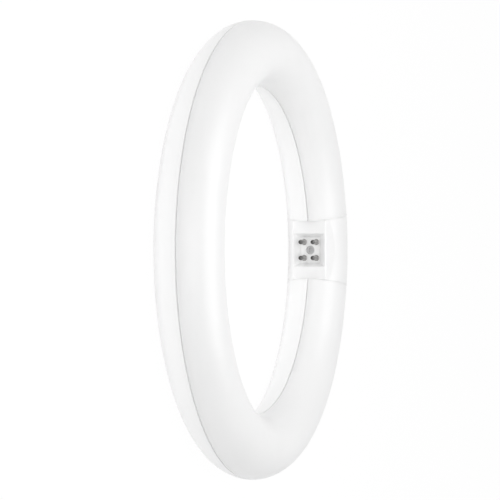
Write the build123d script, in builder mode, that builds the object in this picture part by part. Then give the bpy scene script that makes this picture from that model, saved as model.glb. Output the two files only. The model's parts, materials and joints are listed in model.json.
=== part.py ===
from build123d import *
import os
from math import acos, atan2, cos, degrees, hypot, radians, sin, sqrt, tan

# Circular LED tube with a four-pin base on the inside of its ring.
# The ring's axis is Z and the light leaves towards +Z. The origin is the ring's centre, on the tube's axis.
# The base is at +X, and its pins point at the ring's centre.

# Driving dimensions, in millimetres and degrees
RING_DIAMETER = 211.0
TUBE_DIAMETER = 29.7
TUBE_WALL = 1.5
SEAM_HEIGHT = -0.35
SEAM_GROOVE = 0.55
TONGUE_WALL = 0.7
TONGUE_HEIGHT = 1.6
TONGUE_CLEARANCE = 0.06

BASE_LENGTH = 29.4
BASE_PROUD = 0.1
BASE_WALL = 1.4
BASE_FACE_PROUD = 0.2
BASE_FACE_WIDTH = 17.0
BASE_FACET_INSET = 0.15
BASE_END_GAP = 0.08
NECK_CLEARANCE = 0.05
NECK_LENGTH = 4.0
SHOULDER_LENGTH = 1.6

POCKET_LENGTH = 16.6
POCKET_WIDTH = 16.0
POCKET_FLOOR_LENGTH = 12.7
POCKET_FLOOR_WIDTH = 9.8
POCKET_DEPTH = 2.0
POCKET_FRAME_WALL = 1.3
POCKET_FLOOR_WALL = 1.5
PLATE_LIP = 1.6
PLATE_FLANGE = 1.5
PLATE_CLEARANCE = 0.06
KEY_HOLE_DIAMETER = 4.4
KEY_HOLE_DEPTH = 1.7
KEY_SLOT = 2.1
KEY_SLOT_DEPTH = 2.6

PIN_SPACING_LONG = 7.92
PIN_SPACING_SHORT = 6.35
PIN_DIAMETER = 2.35
PIN_LENGTH = 7.5
PIN_COLLAR_DIAMETER = 3.0
PIN_COLLAR_HEIGHT = 0.5
PIN_COLLAR_CHAMFER = 0.15
PIN_TAIL_DIAMETER = 1.7
PIN_TAIL_LENGTH = 5.0
PIN_FIT = 0.02

BOARD_COUNT = 4
BOARD_WIDTH = 20.0
BOARD_THICKNESS = 1.0
BOARD_SEAT_HEIGHT = -4.0
BOARD_END_GAP = 2.0
BOARD_GAP = 1.3
RIB_THICKNESS = 1.2
RIB_EMBED = 0.3
RIB_INSET = 8.0
RIB_NOTCH_WIDTH = 8.0
RIB_NOTCH_DEPTH = 4.0
POST_DIAMETER = 2.0
POST_OFFSET = 7.0
POST_ROOT = 3.0
POST_HEAD = 0.8
POST_CLEARANCE = 0.15
CHIPS_PER_BOARD = 14
CHIP_LENGTH = 3.5
CHIP_WIDTH = 2.8
CHIP_HEIGHT = 0.7
LINK_LENGTH = 6.0
LINK_WIDTH = 4.0
LINK_HEIGHT = 1.2

DRIVER_DROP = 0.57
DRIVER_THICKNESS = 1.0
DRIVER_CLEARANCE = 0.5
DRIVER_PLATE_GAP = 0.9
DRIVER_RIB_INSET = 1.4

# Driver parts: places are shares of the driver board's width and length, and sizes are shares of its width
CAPACITOR_PLACE = (0.73, 0.265)
CAPACITOR_DIAMETER_SHARE = 0.44
CAPACITOR_HEIGHT_SHARE = 0.66
CAPACITOR_CRIMP_SHARE = 0.028
CHOKE_PLACE = (0.73, -0.22)
CHOKE_DIAMETER_SHARE = 0.44
CHOKE_HEIGHT_SHARE = 0.5
CHOKE_FLANGE_SHARE = 0.078
CHOKE_WINDING_SHARE = 0.36
FILM_PLACE = (0.2, 0.375)
FILM_SHARE = (0.25, 0.25, 0.44)
BRIDGE_PLACE = (0.16, 0.0)
BRIDGE_SHARE = (0.2, 0.2, 0.12)
CONTROL_PLACE = (0.4, 0.0)
CONTROL_SHARE = (0.12, 0.24, 0.08)
CHIP_LEG_SHARE = 0.022
FUSE_PLACE = (0.2, 0.0)
FUSE_LEAD_GAP = 0.4
FUSE_DIAMETER_SHARE = 0.13
FUSE_LENGTH_SHARE = 0.2
FUSE_WIRE_SHARE = 0.04
LEAD_DIAMETER = 1.2
INPUT_LEAD_SHARES = (0.19, 0.33)
INPUT_LEAD_BEND = 1.0
OUTPUT_LEAD_PLACE = (0.43, 0.46)
OUTPUT_LEAD_HEIGHT = 0.5
OUTPUT_LEAD_OFFSET = 5.5
OUTPUT_LEAD_INSET = 2.6
OUTPUT_LEAD_BEND = 1.5

# Sizes that follow from the driving ones
RING_RADIUS = (RING_DIAMETER - TUBE_DIAMETER) / 2
TUBE_RADIUS = TUBE_DIAMETER / 2
TUBE_BORE = TUBE_RADIUS - TUBE_WALL
BASE_RADIUS = TUBE_RADIUS + BASE_PROUD
BASE_BORE = BASE_RADIUS - BASE_WALL
NECK_RADIUS = BASE_BORE - NECK_CLEARANCE
NECK_BORE = NECK_RADIUS - TUBE_WALL
BASE_FACE_X = RING_RADIUS - TUBE_RADIUS - BASE_FACE_PROUD
BASE_HALF_ANGLE = degrees(atan2(BASE_LENGTH / 2, BASE_FACE_X))
BODY_START = BASE_HALF_ANGLE + degrees(BASE_END_GAP / RING_RADIUS)
BODY_ARC = 360 - 2 * BODY_START
SHOULDER_ANGLE = degrees(SHOULDER_LENGTH / RING_RADIUS)
NECK_START = BASE_HALF_ANGLE - degrees(NECK_LENGTH / RING_RADIUS)
NECK_ARC = BODY_START + SHOULDER_ANGLE - NECK_START
NECK_STARTS = (NECK_START, -NECK_START - NECK_ARC)
REBATE_START = (BODY_START + BASE_HALF_ANGLE) / 2
REBATE_ARC = 360 - 2 * REBATE_START
REBATE_RADIUS = TUBE_BORE + TONGUE_WALL + TONGUE_CLEARANCE
REBATE_HEIGHT = SEAM_HEIGHT + TONGUE_HEIGHT + TONGUE_CLEARANCE
SEAM_REACH = sqrt(TUBE_RADIUS**2 - SEAM_HEIGHT**2)

PLATE_X = BASE_FACE_X + POCKET_DEPTH
PLATE_LENGTH = POCKET_FLOOR_LENGTH - 2 * PLATE_CLEARANCE
PLATE_WIDTH = POCKET_FLOOR_WIDTH - 2 * PLATE_CLEARANCE
FRAME_END_X = PLATE_X + POCKET_FLOOR_WALL
PLATE_BACK_X = FRAME_END_X + PLATE_FLANGE
FRAME_LENGTH = POCKET_LENGTH + 2 * POCKET_FRAME_WALL
FRAME_WIDTH = POCKET_WIDTH + 2 * POCKET_FRAME_WALL
CORNER_REACH = hypot(RING_RADIUS - BASE_FACE_X, BASE_FACE_WIDTH / 2)
CORNER_ANGLE = atan2(BASE_FACE_WIDTH / 2, RING_RADIUS - BASE_FACE_X)
FACET_RADIUS = BASE_RADIUS - BASE_FACET_INSET
FACET_ANGLE = CORNER_ANGLE + acos(FACET_RADIUS / CORNER_REACH)
FACET_X = RING_RADIUS - FACET_RADIUS * cos(FACET_ANGLE)
FACET_Z = FACET_RADIUS * sin(FACET_ANGLE)

BOARD_END_ANGLE = BODY_START + SHOULDER_ANGLE + degrees(BOARD_END_GAP / RING_RADIUS)
BOARD_GAP_ANGLE = degrees(BOARD_GAP / RING_RADIUS)
RIB_INSET_ANGLE = degrees(RIB_INSET / RING_RADIUS)
BOARD_ARC = (360 - 2 * BOARD_END_ANGLE - (BOARD_COUNT - 1) * BOARD_GAP_ANGLE) / BOARD_COUNT
BOARD_TOP = BOARD_SEAT_HEIGHT + BOARD_THICKNESS
BOARD_STARTS = [BOARD_END_ANGLE + i * (BOARD_ARC + BOARD_GAP_ANGLE) for i in range(BOARD_COUNT)]
POST_RADIUS_FROM_AXIS = RING_RADIUS + POST_OFFSET
OUTPUT_LEAD_ANGLE = BOARD_END_ANGLE + degrees(OUTPUT_LEAD_INSET / RING_RADIUS)

DRIVER_INNER_X = PLATE_BACK_X + DRIVER_PLATE_GAP
DRIVER_LENGTH = 2 * (DRIVER_INNER_X * tan(radians(NECK_START)) - DRIVER_CLEARANCE)
DRIVER_SEAT_HEIGHT = -DRIVER_DROP * TUBE_RADIUS
DRIVER_TOP = DRIVER_SEAT_HEIGHT + DRIVER_THICKNESS
DRIVER_REACH = RING_RADIUS + sqrt(BASE_BORE**2 - DRIVER_SEAT_HEIGHT**2)
DRIVER_OUTER_X = sqrt(DRIVER_REACH**2 - DRIVER_LENGTH**2 / 4) - DRIVER_CLEARANCE
DRIVER_WIDTH = DRIVER_OUTER_X - DRIVER_INNER_X
DRIVER_RIB_ANGLE = degrees(atan2(DRIVER_LENGTH / 2 - DRIVER_RIB_INSET, RING_RADIUS))


def section_plane(angle):
    """Plane through the ring's axis at an angle round it: its x is the radius and its y is the height."""
    turn = radians(angle)
    return Plane((0, 0, 0), x_dir=(cos(turn), sin(turn), 0), z_dir=(sin(turn), -cos(turn), 0))


def ring_point(radius, angle, height):
    """Point at a radius, angle and height about the ring's axis."""
    return (radius * cos(radians(angle)), radius * sin(radians(angle)), height)


def tube_section(outer, height, side, inner=0):
    """Part of the tube's round section on one side of a height: Align.MIN keeps what is above it."""
    with Locations((RING_RADIUS, 0)):
        Circle(outer)
        if inner:
            Circle(inner, mode=Mode.SUBTRACT)
        with Locations((0, height)):
            Rectangle(3 * outer, 3 * outer, align=(Align.CENTER, side), mode=Mode.INTERSECT)


def seam_groove():
    """Notches the two corners of a half section where the halves meet, so that a fine groove shows."""
    with Locations((RING_RADIUS - SEAM_REACH, SEAM_HEIGHT), (RING_RADIUS + SEAM_REACH, SEAM_HEIGHT)):
        Rectangle(SEAM_GROOVE, SEAM_GROOVE, rotation=45, mode=Mode.SUBTRACT)


def board_rib_angles(start):
    """Angles of the three ribs under one LED board."""
    return (start + RIB_INSET_ANGLE, start + BOARD_ARC / 2, start + BOARD_ARC - RIB_INSET_ANGLE)


def board_post_points(start, height):
    """Places of the two locating posts of one LED board, beside its end ribs."""
    first, _, last = board_rib_angles(start)
    return [ring_point(POST_RADIUS_FROM_AXIS, angle, height) for angle in (first, last)]


# Rear housing: the back half of the tube, with a tongue along the seam and ribs and posts for the LED boards
with BuildSketch() as tongue:
    tube_section(TUBE_BORE + TONGUE_WALL, SEAM_HEIGHT + TONGUE_HEIGHT, Align.MAX, inner=TUBE_BORE)
with BuildPart() as rear_housing:
    with BuildSketch(section_plane(BODY_START)):
        tube_section(TUBE_RADIUS, SEAM_HEIGHT, Align.MAX, inner=TUBE_BORE)
        seam_groove()
        add(tongue.sketch)
    revolve(axis=Axis.Z, revolution_arc=BODY_ARC)
    for neck_start in NECK_STARTS:
        with BuildSketch(section_plane(neck_start)):
            tube_section(NECK_RADIUS, SEAM_HEIGHT, Align.MAX, inner=NECK_BORE)
        revolve(axis=Axis.Z, revolution_arc=NECK_ARC)
    for board_start in BOARD_STARTS:
        for rib_angle in board_rib_angles(board_start):
            with BuildSketch(section_plane(rib_angle)):
                tube_section(TUBE_BORE + RIB_EMBED, BOARD_SEAT_HEIGHT, Align.MAX)
                with Locations((RING_RADIUS, BOARD_SEAT_HEIGHT)):
                    Rectangle(
                        RIB_NOTCH_WIDTH,
                        RIB_NOTCH_DEPTH,
                        align=(Align.CENTER, Align.MAX),
                        mode=Mode.SUBTRACT,
                    )
            extrude(amount=RIB_THICKNESS / 2, both=True)
        with Locations(*board_post_points(board_start, BOARD_SEAT_HEIGHT - POST_ROOT)):
            Cylinder(
                POST_DIAMETER / 2,
                POST_ROOT + BOARD_THICKNESS + POST_HEAD,
                align=(Align.CENTER, Align.CENTER, Align.MIN),
            )

# Front diffuser: the opal half of the tube, rebated inside to take the housing's tongue
with BuildPart() as front_diffuser:
    with BuildSketch(section_plane(BODY_START)):
        tube_section(TUBE_RADIUS, SEAM_HEIGHT, Align.MIN, inner=TUBE_BORE)
        seam_groove()
    revolve(axis=Axis.Z, revolution_arc=BODY_ARC)
    for neck_start in NECK_STARTS:
        with BuildSketch(section_plane(neck_start)):
            tube_section(NECK_RADIUS, SEAM_HEIGHT, Align.MIN, inner=NECK_BORE)
        revolve(axis=Axis.Z, revolution_arc=NECK_ARC)
    with BuildSketch(section_plane(REBATE_START)):
        tube_section(REBATE_RADIUS, REBATE_HEIGHT, Align.MAX)
    revolve(axis=Axis.Z, revolution_arc=REBATE_ARC, mode=Mode.SUBTRACT)

# Nose of the base: the flat inner face and the two facets that run from it into the round of the tube
with BuildPart() as base_nose:
    with BuildSketch(Plane.XZ):
        with BuildLine():
            Polyline(
                (BASE_FACE_X, -BASE_FACE_WIDTH / 2),
                (FACET_X, -FACET_Z),
                (RING_RADIUS, 0),
                (FACET_X, FACET_Z),
                (BASE_FACE_X, BASE_FACE_WIDTH / 2),
                close=True,
            )
        make_face()
    extrude(amount=TUBE_DIAMETER, both=True)
    with BuildSketch(section_plane(-BASE_HALF_ANGLE)):
        with Locations((RING_RADIUS, 0)):
            Rectangle(4 * TUBE_RADIUS, 4 * TUBE_RADIUS)
    revolve(axis=Axis.Z, revolution_arc=2 * BASE_HALF_ANGLE, mode=Mode.INTERSECT)

# Hollow of the base, apart from the frame that stands round the connector pocket
with BuildPart() as base_hollow:
    with BuildSketch(section_plane(-BASE_HALF_ANGLE)):
        with Locations((RING_RADIUS, 0)):
            Circle(BASE_BORE)
    revolve(axis=Axis.Z, revolution_arc=2 * BASE_HALF_ANGLE)
    with Locations((FRAME_END_X, 0, 0)):
        Box(
            TUBE_RADIUS,
            FRAME_LENGTH,
            FRAME_WIDTH,
            align=(Align.MAX, Align.CENTER, Align.CENTER),
            mode=Mode.SUBTRACT,
        )

# Base body: one moulding that bridges the tube's two ends, with the pocket in its flat inner face
FACE_PLANE = Plane((BASE_FACE_X, 0, 0), x_dir=(0, 1, 0), z_dir=(-1, 0, 0))
PLATE_PLANE = FACE_PLANE.offset(-POCKET_DEPTH)
with BuildPart() as base_body:
    with BuildSketch(section_plane(-BASE_HALF_ANGLE)):
        with Locations((RING_RADIUS, 0)):
            Circle(BASE_RADIUS)
    revolve(axis=Axis.Z, revolution_arc=2 * BASE_HALF_ANGLE)
    add(base_nose.part)
    with Locations((BASE_FACE_X, 0, 0)):
        Box(
            TUBE_RADIUS,
            2 * TUBE_DIAMETER,
            2 * TUBE_DIAMETER,
            align=(Align.MAX, Align.CENTER, Align.CENTER),
            mode=Mode.SUBTRACT,
        )
    add(base_hollow.part, mode=Mode.SUBTRACT)
    with BuildSketch(FACE_PLANE):
        Rectangle(POCKET_LENGTH, POCKET_WIDTH)
    with BuildSketch(PLATE_PLANE):
        Rectangle(POCKET_FLOOR_LENGTH, POCKET_FLOOR_WIDTH)
    loft(mode=Mode.SUBTRACT)
    with BuildSketch(PLATE_PLANE):
        Rectangle(POCKET_FLOOR_LENGTH, POCKET_FLOOR_WIDTH)
    extrude(amount=-2 * POCKET_FLOOR_WALL, mode=Mode.SUBTRACT)
    for rib_angle in (-DRIVER_RIB_ANGLE, DRIVER_RIB_ANGLE):
        with BuildSketch(section_plane(rib_angle)):
            tube_section(BASE_BORE + RIB_EMBED, DRIVER_SEAT_HEIGHT, Align.MAX)
            with Locations((DRIVER_INNER_X, 0)):
                Rectangle(
                    2 * DRIVER_WIDTH,
                    4 * TUBE_RADIUS,
                    align=(Align.MIN, Align.CENTER),
                    mode=Mode.INTERSECT,
                )
        extrude(amount=RIB_THICKNESS / 2, both=True)

# Pin plate: the insert that closes the pocket's floor, with a flange behind it and a keyed hole
with BuildPart() as pin_plate:
    with BuildSketch(PLATE_PLANE):
        Rectangle(PLATE_LENGTH, PLATE_WIDTH)
    extrude(amount=-POCKET_FLOOR_WALL - PLATE_FLANGE)
    with BuildSketch(PLATE_PLANE.offset(-POCKET_FLOOR_WALL)):
        Rectangle(POCKET_FLOOR_LENGTH + 2 * PLATE_LIP, POCKET_FLOOR_WIDTH + 2 * PLATE_LIP)
    extrude(amount=-PLATE_FLANGE)
    with BuildSketch(PLATE_PLANE):
        with GridLocations(PIN_SPACING_LONG, PIN_SPACING_SHORT, 2, 2):
            Circle(PIN_TAIL_DIAMETER / 2 + PIN_FIT)
    extrude(amount=-2 * PIN_TAIL_LENGTH, mode=Mode.SUBTRACT)
    with BuildSketch(PLATE_PLANE):
        Circle(KEY_HOLE_DIAMETER / 2)
    extrude(amount=-KEY_HOLE_DEPTH, mode=Mode.SUBTRACT)
    with BuildSketch(PLATE_PLANE):
        Rectangle(KEY_SLOT, KEY_SLOT)
    extrude(amount=-KEY_SLOT_DEPTH, mode=Mode.SUBTRACT)


def contact_pin(y, z):
    """Turned pin with a collar on the plate, a rounded tip and a thinner tail behind the plate."""
    radius = PIN_DIAMETER / 2
    collar = PIN_COLLAR_DIAMETER / 2
    tail = PIN_TAIL_DIAMETER / 2
    with BuildPart() as pin:
        with BuildSketch(Plane((PLATE_X, y, z), x_dir=(-1, 0, 0), z_dir=(0, 0, -1))):
            with BuildLine():
                Polyline(
                    (PIN_LENGTH, 0),
                    (-PIN_TAIL_LENGTH, 0),
                    (-PIN_TAIL_LENGTH, tail),
                    (0, tail),
                    (0, collar),
                    (PIN_COLLAR_HEIGHT - PIN_COLLAR_CHAMFER, collar),
                    (PIN_COLLAR_HEIGHT, collar - PIN_COLLAR_CHAMFER),
                    (PIN_COLLAR_HEIGHT, radius),
                    (PIN_LENGTH - radius, radius),
                )
                RadiusArc((PIN_LENGTH - radius, radius), (PIN_LENGTH, 0), radius)
            make_face()
        revolve(axis=Axis((PLATE_X, y, z), (-1, 0, 0)))
    return pin


def lead(points, bend):
    """Insulated wire along straight runs joined by bends."""
    with BuildPart() as wire:
        with BuildLine() as route:
            FilletPolyline(*points, radius=bend)
        with BuildSketch(Plane(route.line @ 0, z_dir=route.line % 0)):
            Circle(LEAD_DIAMETER / 2)
        sweep()
    return wire


def led_board(start):
    """Arc of circuit board that lies on three ribs, with a hole for each locating post."""
    with BuildPart() as board:
        with BuildSketch(section_plane(start)):
            with Locations((RING_RADIUS, BOARD_SEAT_HEIGHT)):
                Rectangle(BOARD_WIDTH, BOARD_THICKNESS, align=(Align.CENTER, Align.MIN))
        revolve(axis=Axis.Z, revolution_arc=BOARD_ARC)
        with Locations(*board_post_points(start, BOARD_SEAT_HEIGHT)):
            Cylinder(POST_DIAMETER / 2 + POST_CLEARANCE, 3 * BOARD_THICKNESS, mode=Mode.SUBTRACT)
    return board


def led_chips(start):
    """Row of LED chips along the middle of one board."""
    pitch = BOARD_ARC / CHIPS_PER_BOARD
    with BuildPart() as chips:
        with Locations((0, 0, BOARD_TOP)):
            with PolarLocations(
                RING_RADIUS,
                CHIPS_PER_BOARD,
                start_angle=start + pitch / 2,
                angular_range=BOARD_ARC - pitch,
                endpoint=True,
            ):
                Box(CHIP_WIDTH, CHIP_LENGTH, CHIP_HEIGHT, align=(Align.CENTER, Align.CENTER, Align.MIN))
    return chips


def board_link(angle):
    """Soldered bridge that joins the ends of two neighbouring boards."""
    with BuildPart() as link:
        with Locations((0, 0, BOARD_TOP)):
            with PolarLocations(RING_RADIUS - BOARD_WIDTH / 4, 1, start_angle=angle):
                Box(LINK_WIDTH, LINK_LENGTH, LINK_HEIGHT, align=(Align.CENTER, Align.CENTER, Align.MIN))
                fillet(link.edges().filter_by(Axis.Z), LINK_WIDTH / 5)
    return link


def on_driver(place):
    """Point on the driver board's upper face, from shares of the board's width and length."""
    return (DRIVER_INNER_X + place[0] * DRIVER_WIDTH, place[1] * DRIVER_LENGTH, DRIVER_TOP)


def driver_size(shares):
    """Sizes from shares of the driver board's width."""
    return [share * DRIVER_WIDTH for share in shares]


STAND = (Align.CENTER, Align.CENTER, Align.MIN)


def legged_chip(place, shares, rows):
    """Flat moulded package that stands on two rows of short legs."""
    width, length, height = driver_size(shares)
    leg = CHIP_LEG_SHARE * DRIVER_WIDTH
    with BuildPart() as chip:
        with Locations(on_driver(place)):
            with Locations((0, 0, leg / 2)):
                Box(width, length, height, align=STAND)
            with GridLocations(width + leg, length / rows, 2, rows):
                Box(2 * leg, leg, 2 * leg, align=STAND)
    return chip


# Driver board: the small circuit board across the base, on the base's two ribs
with BuildPart() as driver_board:
    with Locations((DRIVER_INNER_X, 0, DRIVER_SEAT_HEIGHT)):
        Box(DRIVER_WIDTH, DRIVER_LENGTH, DRIVER_THICKNESS, align=(Align.MIN, Align.CENTER, Align.MIN))

# Parts that stand on the driver board
CAPACITOR_SHARES = (CAPACITOR_DIAMETER_SHARE, CAPACITOR_HEIGHT_SHARE, CAPACITOR_CRIMP_SHARE)
can, can_height, crimp = driver_size(CAPACITOR_SHARES)
with BuildPart() as smoothing_capacitor:
    with Locations(on_driver(CAPACITOR_PLACE)):
        Cylinder(can / 2, can_height, align=STAND)
        with Locations((0, 0, 3 * crimp)):
            Torus(can / 2, crimp, mode=Mode.SUBTRACT)
    fillet(smoothing_capacitor.edges().group_by(Axis.Z)[-1], crimp)
drum, drum_height, flange = driver_size((CHOKE_DIAMETER_SHARE, CHOKE_HEIGHT_SHARE, CHOKE_FLANGE_SHARE))
with BuildPart() as choke:
    with Locations(on_driver(CHOKE_PLACE)):
        Cylinder(CHOKE_WINDING_SHARE * DRIVER_WIDTH / 2, drum_height, align=STAND)
        Cylinder(drum / 2, flange, align=STAND)
        with Locations((0, 0, drum_height - flange)):
            Cylinder(drum / 2, flange, align=STAND)
with BuildPart() as film_capacitor:
    with Locations(on_driver(FILM_PLACE)):
        Box(*driver_size(FILM_SHARE), align=STAND)
    fillet(film_capacitor.edges().filter_by(Axis.Z), FILM_SHARE[0] * DRIVER_WIDTH / 8)
tube, tube_length, wire = driver_size((FUSE_DIAMETER_SHARE, FUSE_LENGTH_SHARE, FUSE_WIRE_SHARE))
with BuildPart() as fuse:
    fuse_x, fuse_y, fuse_z = on_driver(FUSE_PLACE)
    fuse_y -= PIN_SPACING_LONG / 2 + LEAD_DIAMETER / 2 + FUSE_LEAD_GAP + (tube_length + 3 * wire) / 2
    with Locations((fuse_x, fuse_y, fuse_z)):
        with Locations((0, 0, tube / 2)):
            Cylinder(tube / 2, tube_length, rotation=(90, 0, 0))
            Cylinder(wire / 2, tube_length + 3 * wire, rotation=(90, 0, 0))
        with GridLocations(1, tube_length + 2 * wire, 1, 2):
            Box(wire / 2, wire / 2, tube / 2, align=STAND)


pieces = {}


def keep(builder, name):
    """Labels a piece and keeps it under its node's name."""
    builder.part.label = name
    pieces[name] = builder.part


keep(rear_housing, "rear_housing")
keep(front_diffuser, "front_diffuser")
keep(base_body, "base_body")
keep(pin_plate, "pin_plate")
keep(driver_board, "driver_board")
keep(smoothing_capacitor, "smoothing_capacitor")
keep(choke, "choke")
keep(film_capacitor, "film_capacitor")
keep(fuse, "fuse")
keep(legged_chip(BRIDGE_PLACE, BRIDGE_SHARE, 2), "bridge_rectifier")
keep(legged_chip(CONTROL_PLACE, CONTROL_SHARE, 4), "driver_chip")

for number, board_start in enumerate(BOARD_STARTS, start=1):
    keep(led_board(board_start), f"led_board_{number}")
    keep(led_chips(board_start), f"led_chips_{number}")
    if number < BOARD_COUNT:
        keep(board_link(board_start + BOARD_ARC + BOARD_GAP_ANGLE / 2), f"board_link_{number}")

number = 0
tail_end = PLATE_X + PIN_TAIL_LENGTH
for y in (-PIN_SPACING_LONG / 2, PIN_SPACING_LONG / 2):
    for z, share in zip((-PIN_SPACING_SHORT / 2, PIN_SPACING_SHORT / 2), INPUT_LEAD_SHARES):
        number += 1
        turn_x = DRIVER_INNER_X + share * DRIVER_WIDTH
        keep(contact_pin(y, z), f"contact_pin_{number}")
        route = ((tail_end, y, z), (turn_x, y, z), (turn_x, y, DRIVER_TOP))
        keep(lead(route, INPUT_LEAD_BEND), f"input_lead_{number}")

start_x, start_y, _ = on_driver(OUTPUT_LEAD_PLACE)
end_x, end_y, _ = ring_point(RING_RADIUS + OUTPUT_LEAD_OFFSET, OUTPUT_LEAD_ANGLE, 0)
for side, name in ((1, "output_lead_positive"), (-1, "output_lead_negative")):
    route = (
        (start_x, side * start_y, DRIVER_TOP),
        (start_x, side * start_y, OUTPUT_LEAD_HEIGHT),
        (end_x, side * end_y, OUTPUT_LEAD_HEIGHT),
        (end_x, side * end_y, BOARD_TOP),
    )
    keep(lead(route, OUTPUT_LEAD_BEND), name)

os.makedirs("parts", exist_ok=True)
for name, piece in pieces.items():
    export_step(piece, f"parts/{name}.step")
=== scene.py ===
import json
import math

import bpy
import numpy as np
from bpy.props import FloatProperty, FloatVectorProperty, IntProperty, PointerProperty
from mathutils import Matrix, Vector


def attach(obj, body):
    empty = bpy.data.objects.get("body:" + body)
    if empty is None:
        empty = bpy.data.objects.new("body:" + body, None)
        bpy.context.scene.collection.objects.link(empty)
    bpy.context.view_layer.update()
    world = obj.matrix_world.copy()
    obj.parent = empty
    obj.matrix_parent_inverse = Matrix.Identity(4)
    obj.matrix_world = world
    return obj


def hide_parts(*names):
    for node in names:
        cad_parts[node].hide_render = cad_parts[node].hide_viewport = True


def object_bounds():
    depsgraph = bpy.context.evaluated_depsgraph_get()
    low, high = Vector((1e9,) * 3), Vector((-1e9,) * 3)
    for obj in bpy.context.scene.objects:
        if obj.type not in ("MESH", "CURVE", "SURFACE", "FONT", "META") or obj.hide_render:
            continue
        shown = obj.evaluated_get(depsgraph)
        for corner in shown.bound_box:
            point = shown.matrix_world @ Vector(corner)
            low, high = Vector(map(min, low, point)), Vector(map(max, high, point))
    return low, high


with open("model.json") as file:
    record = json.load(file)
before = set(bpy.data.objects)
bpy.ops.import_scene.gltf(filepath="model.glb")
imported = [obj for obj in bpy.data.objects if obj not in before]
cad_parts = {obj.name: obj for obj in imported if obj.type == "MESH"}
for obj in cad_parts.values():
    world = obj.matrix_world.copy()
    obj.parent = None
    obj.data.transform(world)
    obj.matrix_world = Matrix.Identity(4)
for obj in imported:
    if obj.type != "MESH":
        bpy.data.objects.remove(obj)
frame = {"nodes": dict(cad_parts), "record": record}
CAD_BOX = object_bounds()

bl_info = {
    "name": "Ring lamp",
    "version": (1, 0, 0),
    "blender": (4, 5, 0),
    "location": "3D View > Sidebar > Ring lamp",
    "description": "Builds the shells, base and pins of a circular LED tube round its packed frame",
    "category": "Object",
}

MM = 0.001
REST_HEIGHT = CAD_BOX[0][2]
NEAR_ZERO = 1e-6
FULL_TURN = 2 * math.pi

# How finely the round surfaces are divided
OUTER_ARC_POINTS = 90
INNER_ARC_POINTS = 60
NECK_ARC_POINTS = 40
NECK_STEPS = 8
RIB_ARC_POINTS = 40
POST_SIDES = 32
PLATE_SIDES = 96
PIN_SIDES = 48
PIN_NOSE_POINTS = 16
BASE_ROUND_POINTS = 140
BASE_EDGE_STEPS = 4

# Steps over half of the base's flat face. Along it: floor, pocket wall, band beside the rim and rest.
# Across it: floor, pocket wall and rest.
STEPS_ALONG = (14, 12, 6, 12)
STEPS_ACROSS = (14, 12, 10)
RIM_BAND = 0.6 * MM

# Softness of the moulded and turned edges: lengths, and for the pocket shares of its depth
FACET_BLEND = 0.03 * MM
FACE_BLEND = 0.12 * MM
POCKET_CORNER_BLEND = 0.03
POCKET_EDGE_BLEND = 0.035
PLATE_EDGE = 0.05 * MM
PIN_EDGE = 0.15 * MM
PIN_EDGE_MIDDLE = 0.3 * PIN_EDGE

# Room left behind the necks in the base, and how closely two places or two angles have to agree to be one
NECK_ROOM = 0.3 * MM
SAME_PLACE = 0.01 * MM
ANGLE_DIGITS = 9

# Edges that bend by more than these angles, in degrees, stay sharp
SHELL_CREASE = 28
BASE_CREASE = 40
PLATE_CREASE = 30
PIN_CREASE = 35

# Numbers of a mix node's sockets for colours
MIX_COLOURS = (6, 7)
MIX_RESULT = 2

# Finishes of the inner parts by slot: material, main colour, second colour, pattern scale and roughness
INNER_FINISHES = {
    "led_board": ("white_mask", (0.84, 0.84, 0.82), (0.80, 0.80, 0.78), 700.0, 0.42),
    "led_chip": ("phosphor", (0.90, 0.70, 0.22), (0.82, 0.60, 0.16), 2500.0, 0.4),
    "board_link": ("white_bridge", (0.82, 0.82, 0.80), (0.76, 0.76, 0.74), 900.0, 0.5),
    "driver_board": ("green_board", (0.03, 0.14, 0.06), (0.02, 0.11, 0.045), 900.0, 0.38),
    "capacitor_sleeve": ("dark_sleeve", (0.015, 0.02, 0.05), (0.01, 0.014, 0.04), 500.0, 0.3),
    "choke": ("ferrite", (0.05, 0.05, 0.055), (0.035, 0.035, 0.04), 2000.0, 0.6),
    "film_capacitor": ("dipped_resin", (0.55, 0.33, 0.03), (0.48, 0.28, 0.025), 600.0, 0.25),
    "chip_body": ("moulding_compound", (0.02, 0.02, 0.02), (0.014, 0.014, 0.014), 3000.0, 0.6),
    "fuse": ("ceramic", (0.55, 0.42, 0.25), (0.50, 0.38, 0.22), 1200.0, 0.35),
    "lead_white": ("white_insulation", (0.75, 0.75, 0.72), (0.70, 0.70, 0.68), 1500.0, 0.45),
    "lead_red": ("red_insulation", (0.40, 0.012, 0.012), (0.35, 0.01, 0.01), 1500.0, 0.45),
    "lead_black": ("black_insulation", (0.012, 0.012, 0.012), (0.01, 0.01, 0.01), 1500.0, 0.45),
}


def length(name, description, default):
    """Property for a size in metres."""
    return FloatProperty(name=name, description=description, default=default, unit="LENGTH", precision=5)


def place(name, description, default):
    """Property for a point in metres."""
    return FloatVectorProperty(name=name, description=description, default=default, subtype="TRANSLATION")


def oblong(name, description, default):
    """Property for a width and a height in metres."""
    return FloatVectorProperty(name=name, description=description, default=default, size=2, unit="LENGTH")


def colour(name, description, default):
    """Property for a linear colour."""
    return FloatVectorProperty(
        name=name, description=description, default=default, subtype="COLOR", min=0, max=1
    )


def power(name, description, default):
    """Property for a light's power in watts."""
    return FloatProperty(name=name, description=description, default=default, min=0, unit="POWER")


def level(name, description, default):
    """Property for a strength or a tone."""
    return FloatProperty(
        name=name, description=description, default=default, min=0, max=1, subtype="FACTOR"
    )


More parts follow.
